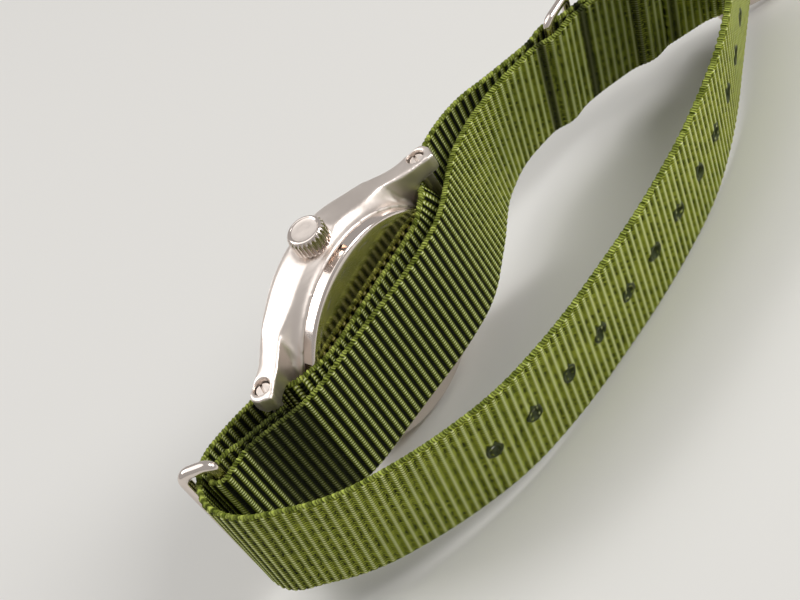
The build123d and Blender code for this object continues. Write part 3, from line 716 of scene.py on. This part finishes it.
dash_crest = add(tree, "ShaderNodeMapRange", {0: dash_wave, 1: -1.0, 2: 1.0}).outputs[0]
print("with the edge cord", len(tree.nodes), "nodes")

# %% Height of the threads
# a scale on this UV map is in cells per millimetre: the fibres of the fuzz are 0.11 mm apart
FUZZ_SCALE = 9.0
THREAD_HEIGHT = 0.00022
threads = add(tree, "ShaderNodeMix", {0: at_edge, 2: yarn_crest, 3: dash_crest},
              data_type="FLOAT").outputs[0]
fuzz = add(tree, "ShaderNodeTexNoise", {"Vector": weave, "Scale": FUZZ_SCALE,
                                        "Detail": 4.0}).outputs[0]
height = add(tree, "ShaderNodeMath", {0: fuzz, 1: 0.35, 2: threads},
             operation="MULTIPLY_ADD").outputs[0]
bump = add(tree, "ShaderNodeBump", {"Height": height, "Strength": 1.0,
                                    "Distance": THREAD_HEIGHT}).outputs[0]
print("with the thread height", len(tree.nodes), "nodes")

# %% Painted shade in the gaps between the threads
# painted shade: a loose band is painted black in the valleys between its cords, where shade falls,
# a tight one only a thin line
tight = add(tree, "ShaderNodeAttribute", attribute_name="tight").outputs["Fac"]
valley_start = add(tree, "ShaderNodeMath", {0: tight, 1: -0.40, 2: 0.50},
                   operation="MULTIPLY_ADD").outputs[0]
valley_end = add(tree, "ShaderNodeMath", {0: tight, 1: -0.08, 2: 0.96},
                 operation="MULTIPLY_ADD").outputs[0]
on_cord = add(tree, "ShaderNodeMapRange", {0: rib_crest, 1: valley_start,
                                           2: valley_end}).outputs[0]
on_thread = add(tree, "ShaderNodeMath", {0: on_cord, 1: at_edge}, operation="MAXIMUM").outputs[0]
# in a tight band the painted shade of a valley shows only between two yarns, as a row of short
# dashes
uneven = add(tree, "ShaderNodeMath", {0: chance, 1: 0.7, 2: yarn_crest},
             operation="MULTIPLY_ADD").outputs[0]
closed = add(tree, "ShaderNodeMapRange", {0: uneven, 1: 0.95, 2: 1.25}).outputs[0]
covered = add(tree, "ShaderNodeMath", {0: closed, 1: tight}, operation="MULTIPLY").outputs[0]
seen = add(tree, "ShaderNodeMath", {0: on_thread, 1: covered}, operation="MAXIMUM").outputs[0]
# between the yarns, and between the edge cord's dashes, the colour is darkened too: painted shade
between = add(tree, "ShaderNodeMapRange", {0: threads, 1: 0.1, 2: 0.75, 3: 0.42,
                                           4: 1.0}).outputs[0]
lit = add(tree, "ShaderNodeMath", {0: seen, 1: between}, operation="MULTIPLY").outputs[0]
print("with the gaps", len(tree.nodes), "nodes")

# %% Colours of the yarns
# the dye varies from yarn to yarn and in faint waves 4.5 mm long
DYE_WAVE_SCALE = 0.22
wave = add(tree, "ShaderNodeTexNoise", {"Vector": weave, "Scale": DYE_WAVE_SCALE,
                                        "Detail": 2.0}).outputs[0]
blend = add(tree, "ShaderNodeMath", {0: chance, 1: 0.55, 2: wave},
            operation="MULTIPLY_ADD").outputs[0]
shade = add(tree, "ShaderNodeMapRange", {0: blend, 1: 0.3, 2: 1.2}).outputs[0]
yarn_colour = add(tree, "ShaderNodeMix", {0: shade, 6: linear("#8b9a24"), 7: linear("#bac548")},
                  data_type="RGBA").outputs[2]
dash_colour = add(tree, "ShaderNodeMix", {0: dash_chance, 6: linear("#5f6b1c"),
                                          7: linear("#c2ce62")}, data_type="RGBA").outputs[2]
# painted highlight: the top of each yarn over each cord is painted paler, where light would catch
# it
top_of_rib = add(tree, "ShaderNodeMapRange", {0: rib_crest, 1: 0.80, 2: 0.98}).outputs[0]
top_of_yarn = add(tree, "ShaderNodeMapRange", {0: yarn_crest, 1: 0.45, 2: 0.85}).outputs[0]
painted_highlight_mask = add(tree, "ShaderNodeMath", {0: top_of_rib, 1: top_of_yarn},
           operation="MULTIPLY").outputs[0]
yarn_with_painted_highlight = add(tree, "ShaderNodeMix", {0: painted_highlight_mask, 6: yarn_colour, 7: linear("#eef3b4")},
             data_type="RGBA").outputs[2]
print("with the yarn colours", len(tree.nodes), "nodes")

# %% The finished webbing material
# edge cord over the yarns, painted shade in the gaps, and a dark stripe where a seam runs: partly
# the seam's own thread and partly painted shade in its pressed groove; between the seams of the
# short layer the same darkening is painted shade only
SEAM_DARK = 0.93
sewn = add(tree, "ShaderNodeAttribute", attribute_name="sewn").outputs["Fac"]
# seam darkening: partly the seam's own colour, partly painted shade
seam_and_painted_shade = add(tree, "ShaderNodeMath", {0: sewn, 1: SEAM_DARK}, operation="MULTIPLY").outputs[0]
all_threads = add(tree, "ShaderNodeMix", {0: at_edge, 6: yarn_with_painted_highlight, 7: dash_colour},
                  data_type="RGBA").outputs[2]
# the near-black colour here is painted shade in the valleys and gaps
weave_with_painted_shade = add(tree, "ShaderNodeMix", {0: lit, 6: linear("#0e1204"), 7: all_threads},
                 data_type="RGBA").outputs[2]
colour = add(tree, "ShaderNodeMix", {0: seam_and_painted_shade, 6: weave_with_painted_shade, 7: linear("#191c0a")},
             data_type="RGBA").outputs[2]
tree.links.new(colour, shader.inputs["Base Color"])
tree.links.new(bump, shader.inputs["Normal"])
shader.inputs["Roughness"].default_value = 0.6
shader.inputs["Specular IOR Level"].default_value = 0.09
print("webbing nodes", len(tree.nodes))

# %% The long and the short strap
LONG_TIGHT_OVER = (22, 38, 150, 165)
SHORT_TIGHT_OVER = (-2, -1, 62, 88)
long_band, long_line, long_length = webbing(
    "webbing_long", [(UPPER, UPPER_RADII), (TAIL, TAIL_RADII)], True, "long_strap", nylon, SEAMS,
    TUCKS, LONG_TIGHT_OVER)
webbing("webbing_short", [(SHORT, SHORT_RADII)], False, "short_strap", nylon, SEAMS + BOX_SEAM_AND_SHADE,
        [], SHORT_TIGHT_OVER)

# %% [markdown]
# ## Rings of bent wire
# The free ring and the two keepers are round steel wire bent into a long loop and welded, then
# polished. A circle is carried along a rounded rectangle. The place and directions of each loop
# are those of its hinge in the CAD.


# %% Closing a mesh
def closed_up(mesh, reach):
    """Merges points closer than a reach in metres and turns every face outwards."""
    shape = bmesh.new()
    shape.from_mesh(mesh)
    bmesh.ops.remove_doubles(shape, verts=shape.verts, dist=reach)
    bmesh.ops.recalc_face_normals(shape, faces=shape.faces)
    shape.to_mesh(mesh)
    shape.free()


# %% A wire bent into a loop
DOUBLES = 1e-7
CORNER_STEPS = 13
WIRE_SIDES = 24


def wire_ring(name, node, body, origin, reach_way, hinge_way, half, reach, wire, corner):
    """A circle carried round a rectangle of half width along the hinge and a reach away."""
    origin, out, along = (np.array(v, dtype=float) for v in (origin, reach_way, hinge_way))
    centres = np.array([(half - corner, corner), (half - corner, reach - corner),
                        (corner - half, reach - corner), (corner - half, corner)])
    starts = np.array([-90, 0, 90, 180])
    angle = np.radians(starts[:, None] + np.linspace(0, 90, CORNER_STEPS)[None, :])
    flat = centres[:, None] + corner * np.stack([np.cos(angle), np.sin(angle)], axis=-1)
    flat, angle = flat.reshape(-1, 2), angle.reshape(-1)
    outward = np.cos(angle)[:, None] * along + np.sin(angle)[:, None] * out
    square = np.cross(along, out)
    path = origin + flat[:, :1] * along + flat[:, 1:] * out
    roll = np.linspace(0, 2 * np.pi, WIRE_SIDES, endpoint=False)
    points = path[:, None] + wire / 2 * (np.cos(roll)[None, :, None] * outward[:, None]
                                         + np.sin(roll)[None, :, None] * square)
    made = grid_piece(name, np.concatenate([points, points[:1]]), body, polish)
    closed_up(made.data, DOUBLES)
    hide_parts(node)
    print(name, "faces", len(made.data.polygons))


# %% The free ring and the keepers
KEEPER_HINGE = (0.97, 0.0643, -0.2346)
wire_ring("welded_free_ring", "free_ring", "ring", (0.0, -33.1001, -0.8982),
          (0.0, -0.6361, 0.7716), (1.0, 0.0, 0.0), 12.0, 4.9, 1.8, 1.7)
wire_ring("welded_keeper_1", "keeper_ring_1", "first_keeper", (-1.8592, 50.0003, -2.5997),
          (-0.0529, 0.9971, 0.0547), KEEPER_HINGE, 11.5, 5.6, 1.4, 1.3)
wire_ring("welded_keeper_2", "keeper_ring_2", "second_keeper", (-3.5705, 65.5986, -8.652),
          (0.0295, 0.9263, 0.3757), KEEPER_HINGE, 11.5, 5.6, 1.4, 1.3)

# %% [markdown]
# ## The crown
# The crown is turned from bar, its side is milled with 26 flutes for grip, and its end has a
# polished rim round a satin disc. The surface is a function of the angle round the crown and the
# place along its profile: the flutes are dips of the radius, only along the side wall.

# %% Fluted crown
FLUTES = 26
FLUTE_STEPS = 12
FLUTE_DEPTH = 0.34
# the profile: (place along X, radius, share of the flute's depth)
profile = np.array([
    (18.46, 1.40, 0.0), (18.46, 2.45, 0.0), (18.50, 2.62, 0.3), (18.62, 2.78, 0.8),
    (18.80, 2.85, 1.0), (19.40, 2.85, 1.0), (20.00, 2.85, 1.0), (20.60, 2.85, 1.0),
    (21.05, 2.85, 1.0), (21.20, 2.80, 0.8), (21.33, 2.70, 0.4), (21.46, 2.60, 0.0),
    (21.58, 2.48, 0.0), (21.645, 2.34, 0.0), (21.65, 2.22, 0.0), (21.60, 2.12, 0.0),
    (21.52, 2.06, 0.0), (21.50, 1.98, 0.0), (21.51, 1.20, 0.0), (21.52, 0.40, 0.0),
    (21.52, 0.02, 0.0)])
DISC_ROW = 17
angle = np.linspace(0, 2 * np.pi, FLUTES * FLUTE_STEPS, endpoint=False)
ridge = np.clip(0.5 + 0.9 * np.cos(FLUTES * angle), 0, 1)
radius = profile[:, 1:2] - FLUTE_DEPTH * profile[:, 2:3] * (1 - ridge[None, :])
points = np.stack([profile[:, :1] * np.ones_like(radius), radius * np.cos(angle),
                   radius * np.sin(angle)], axis=-1)
crown = grid_piece("fluted_crown", points, "crown_button", polish, ends=True)
crown.data.materials.append(satin)
in_disc = np.zeros(len(crown.data.polygons), dtype=np.int32)
in_disc[DISC_ROW * len(angle):] = 1
crown.data.polygons.foreach_set("material_index", in_disc)
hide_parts("crown")
print("crown faces", len(crown.data.polygons))

# %% [markdown]
# ## Punched holes
# The tail has a row of holes 7.5 mm apart. A hot punch makes them, so the nylon melts into a dark,
# hard lip round each hole. The band's grid has no room for a round hole, so the faces inside a
# small circle are taken out, and a lathed lip, round in section, closes the rough edge on both
# sides.

# %% Places of the holes
HOLE_PITCH = 7.5
HOLES_BEFORE, HOLES_BEYOND = 13, 2
# length of the upper run, and how far along the tail the tongue's hole lies
UPPER_LENGTH = 105.06
HOLE_ON_TAIL = 183.55
hole_at = HOLE_ON_TAIL + UPPER_LENGTH + HOLE_PITCH * np.arange(-HOLES_BEFORE, HOLES_BEYOND + 1)
close_by = np.linspace(-0.02, 0.02, 3)
hole_frames = [band_frame(long_line, long_length, at + close_by) for at in hole_at]
hole_middle, hole_across, hole_normal = (
    np.array([three[k][1] for three in hole_frames]) for k in range(3))
hole_along = np.cross(hole_normal, hole_across)
print("holes", len(hole_at))

# %% Cutting the holes
CUT_RADIUS = 1.05
CUT_DEPTH = 0.9


def cut_holes(piece, centres, normals):
    """Takes out the faces whose middle is within a radius and a depth of a hole's middle."""
    count = len(piece.data.polygons)
    flat = np.zeros(3 * count, dtype=np.float32)
    piece.data.polygons.foreach_get("center", flat)
    off = flat.reshape(-1, 1, 3) - placed(centres)
    normals = normals @ axes
    depth = np.einsum("fhk,hk->fh", off, normals)
    beside = np.linalg.norm(off - depth[..., None] * normals, axis=2)
    near = (beside < CUT_RADIUS * 0.001) & (np.abs(depth) < CUT_DEPTH * 0.001)
    shape = bmesh.new()
    shape.from_mesh(piece.data)
    shape.faces.ensure_lookup_table()
    gone = [shape.faces[k] for k in np.flatnonzero(near.any(axis=1)).tolist()]
    bmesh.ops.delete(shape, geom=gone, context="FACES_ONLY")
    shape.to_mesh(piece.data)
    shape.free()
    return count - len(piece.data.polygons)


print("hole faces cut", cut_holes(long_band, hole_middle, hole_normal))

# %% Lips round the holes
# the lip's section is an oval 0.76 mm across and a little thicker than the band, uneven round
# the hole, each hole in its own way
LIP_MIDDLE, LIP_HALF, LIP_THICK = 1.24, 0.38, 0.68
roll = np.linspace(0, 2 * np.pi, 12, endpoint=False)
around = np.linspace(0, 2 * np.pi, 25)
lip_r = LIP_MIDDLE + LIP_HALF * np.cos(roll)
lip_z = LIP_THICK * np.sin(roll)
lips = []
for k in range(len(hole_at)):
    beat = np.sin(2 * around + k)
    wide = 1 + 0.06 * beat + 0.04 * np.sin(3 * around + 2 * k)
    away = (np.cos(around)[:, None, None] * hole_across[k]
            + np.sin(around)[:, None, None] * hole_along[k])
    lips.append(hole_middle[k] + (wide[:, None] * lip_r)[..., None] * away
                + (lip_z[None, :] * (1 + 0.08 * beat)[:, None])[..., None] * hole_normal[k])
print("lip points", sum(lip[..., 0].size for lip in lips))

# %% Melted nylon
# nylon that has melted and set again is darker, harder and lumpy; the lumps are 0.45 mm across
LUMP_SCALE = 2200.0
melted, tree, shader = finish_named("melted_nylon")
where = add(tree, "ShaderNodeTexCoord").outputs["Object"]
lumps = add(tree, "ShaderNodeTexNoise", {"Vector": where, "Scale": LUMP_SCALE, "Detail": 3.0})
tone = add(tree, "ShaderNodeMix", {0: lumps.outputs[0], 6: linear("#11140a"),
                                   7: linear("#4b5527")}, data_type="RGBA")
bump = add(tree, "ShaderNodeBump", {"Height": lumps.outputs[0], "Strength": 0.8,
                                    "Distance": 0.0001})
tree.links.new(tone.outputs[2], shader.inputs["Base Color"])
tree.links.new(bump.outputs[0], shader.inputs["Normal"])
shader.inputs["Roughness"].default_value = 0.5
shader.inputs["Specular IOR Level"].default_value = 0.25
print("lip finish", melted.name)


# %% The lips as one piece
def joined_grids(name, grids, body, material):
    """One piece from grids of equal size, each closed round its rows, with doubles merged."""
    rows, columns = grids[0].shape[:2]
    shift = rows * columns * np.arange(len(grids))[:, None, None]
    faces = (np.array(grid_faces(rows, columns)) + shift).reshape(-1, 4)
    mesh = bpy.data.meshes.new(name)
    mesh.from_pydata(placed(np.concatenate([g.reshape(-1, 3) for g in grids])).tolist(), [],
                     faces.tolist())
    closed_up(mesh, DOUBLES)
    mesh.shade_smooth()
    return new_piece(name, mesh, body, material)


hole_lips = joined_grids("hole_lips", lips, "watch", melted)
print("lip faces", len(hole_lips.data.polygons))

# %% [markdown]
# ## The screwed back
# The back is turned and polished, very slightly domed, with six key slots in its wall. The dome is
# too low to see in outline, but it bends the reflection of the strap along the rim. The surface is
# a lathe profile whose wall steps in where the angle is within a slot.

# %% Back with key slots
BACK_RADIUS = 17.2
DOME_HEIGHT = 0.30
SLOT_DEPTH = 0.85
SLOT_EDGE = (1.42, 1.58)
rim = np.linspace(0, 1, 14)
dome = np.column_stack([np.maximum(16.75 * rim, 0.02), -5.2 + DOME_HEIGHT * rim ** 4, 0 * rim])
# the profile: (radius, height, share of the slot's depth)
wall = np.array([(16.92, -4.82, 0.0), (17.08, -4.70, 0.0), (17.16, -4.60, 0.0), (17.2, -4.5, 0.0),
                 (17.2, -4.42, 0.0), (17.2, -4.38, 1.0), (17.2, -4.0, 1.0), (17.2, -3.5, 1.0),
                 (17.2, -3.14, 1.0), (17.2, -3.10, 0.0), (17.2, -3.02, 0.0), (15.8, -3.02, 0.0)])
profile = np.concatenate([dome, wall])
angle = np.linspace(0, 2 * np.pi, 720, endpoint=False)
off_slot = np.abs((angle + np.pi / 6) % (np.pi / 3) - np.pi / 6) * BACK_RADIUS
in_slot = 1 - eased_between(off_slot, *SLOT_EDGE)
radius = profile[:, :1] - SLOT_DEPTH * profile[:, 2:3] * in_slot[None, :]
points = np.stack([radius * np.cos(angle), radius * np.sin(angle),
                   profile[:, 1:2] * np.ones_like(radius)], axis=-1)
back = grid_piece("screwed_back", points, "watch", polish, ends=True)
closed_up(back.data, 0)
back.data.set_sharp_from_angle(angle=math.radians(35))
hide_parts("case_back")
print("back faces", len(back.data.polygons))

# %% [markdown]
# ## Printing on the dial
# A field watch has plain hour numbers printed in pale luminous paint, and a fine minute track
# outside them. Text is turned into a mesh, and each number is set upright on its place. The track
# is sixty short bars worked out at once.

# %% Hour numbers
DIAL_TOP = 2.6
PRINT_RAISED = 0.02
NUMBER_RADIUS = 10.6
NUMBER_SIZE = 3.1
corners, faces = [], []
for hour in range(1, 13):
    text = bpy.data.curves.new("hour", "FONT")
    text.body = str(hour)
    text.size = NUMBER_SIZE
    text.align_x, text.align_y = "CENTER", "CENTER"
    text.extrude = 0.012
    holder = bpy.data.objects.new("hour", text)
    flat = bpy.data.meshes.new_from_object(holder)
    place = np.zeros(3 * len(flat.vertices))
    flat.vertices.foreach_get("co", place)
    bearing = math.radians(30 * hour)
    place = place.reshape(-1, 3) + (NUMBER_RADIUS * math.sin(bearing),
                                    NUMBER_RADIUS * math.cos(bearing), DIAL_TOP + PRINT_RAISED)
    start = sum(len(c) for c in corners)
    corners.append(place)
    faces += [tuple(start + i for i in polygon.vertices) for polygon in flat.polygons]
    bpy.data.objects.remove(holder)
    bpy.data.meshes.remove(flat)
    bpy.data.curves.remove(text)
print("number faces", len(faces))

# %% Minute track
TRACK_RAISED = 0.05
TRACK_RADIUS = 15.0
minutes = np.arange(60)
on_hour = minutes % 5 == 0
half = np.where(on_hour, 0.15, 0.08)[:, None]
inner = np.where(on_hour, 14.45, 14.3)[:, None]
minute = np.radians(6 * minutes)
way = np.stack([np.sin(minute), np.cos(minute)], axis=1)
side = np.stack([np.cos(minute), -np.sin(minute)], axis=1) * half
bars = np.stack([way * inner - side, way * TRACK_RADIUS - side,
                 way * TRACK_RADIUS + side, way * inner + side], axis=1)
level = np.full((60, 4, 1), DIAL_TOP + TRACK_RAISED)
start = sum(len(c) for c in corners)
corners.append(np.concatenate([bars, level], axis=2).reshape(-1, 3))
faces += [tuple(start + 4 * k + i for i in (3, 2, 1, 0)) for k in range(60)]
print("printing faces", len(faces))

# %% [markdown]
# ## Dial, hands and small metal
# The CAD pieces that stay get their finish here. The dial is matt black enamel on brass, the hands
# and markers are filled with pale luminous paint, the movement and the two tubes are gilt brass,
# and the crystal is mineral glass. Paint and enamel are never quite one tone, so two close colours
# are mixed by fine noise, which also shades the roughness.

# %% Finishes for the CAD pieces that stay
# specks 2.5 mm across
SPECK_SCALE = 400.0


def plain_finish(name, code, second, roughness, metallic=0.0):
    """Two close tones mixed by fine noise, with the noise also in the roughness."""
    made, tree, shader = finish_named(name)
    where = add(tree, "ShaderNodeTexCoord").outputs["Object"]
    speck = add(tree, "ShaderNodeTexNoise", {"Vector": where, "Scale": SPECK_SCALE,
                                             "Detail": 3.0}).outputs[0]
    tone = add(tree, "ShaderNodeMix", {0: speck, 6: linear(code), 7: linear(second)},
               data_type="RGBA")
    rough = add(tree, "ShaderNodeMapRange", {0: speck, 1: 0.3, 2: 0.7, 3: roughness * 0.85,
                                             4: roughness * 1.15})
    tree.links.new(tone.outputs[2], shader.inputs["Base Color"])
    tree.links.new(rough.outputs[0], shader.inputs["Roughness"])
    shader.inputs["Metallic"].default_value = metallic
    return made


enamel = plain_finish("black_dial_enamel", "#0d0d0f", "#161618", 0.55)
lume = plain_finish("pale_luminous_paint", "#d6d8bc", "#e2e4cc", 0.7)
brass = plain_finish("gilt_brass", "#b8975a", "#caa96a", 0.28, 1.0)
glass, tree, shader = finish_named("mineral_glass")
shader.inputs["Base Color"].default_value = linear("#f4f8f8")
shader.inputs["Transmission Weight"].default_value = 1.0
shader.inputs["Roughness"].default_value = 0.01
shader.inputs["IOR"].default_value = 1.5
print("finishes", [made.name for made in (enamel, lume, brass, glass)])

# %% Each piece in its finish
FINISHES = {
    "crystal": glass, "dial": enamel, "hour_markers": lume, "hour_hand": lume,
    "minute_hand": lume, "second_hand": lume, "hour_wheel": brass, "cannon_pinion": brass,
    "second_arbor": satin, "movement": brass, "winding_stem": satin, "crown_tube": satin,
    "strap_bars": satin, "buckle_pin": polish}
for node, material in FINISHES.items():
    for slot in frame["nodes"][node].material_slots:
        slot.material = material
printing_mesh = bpy.data.meshes.new("dial_printing")
printing_mesh.from_pydata(placed(np.concatenate(corners)).tolist(), [], faces)
printing = new_piece("dial_printing", printing_mesh, "watch", lume)
print("finished CAD pieces", len(FINISHES), "and", printing.name)
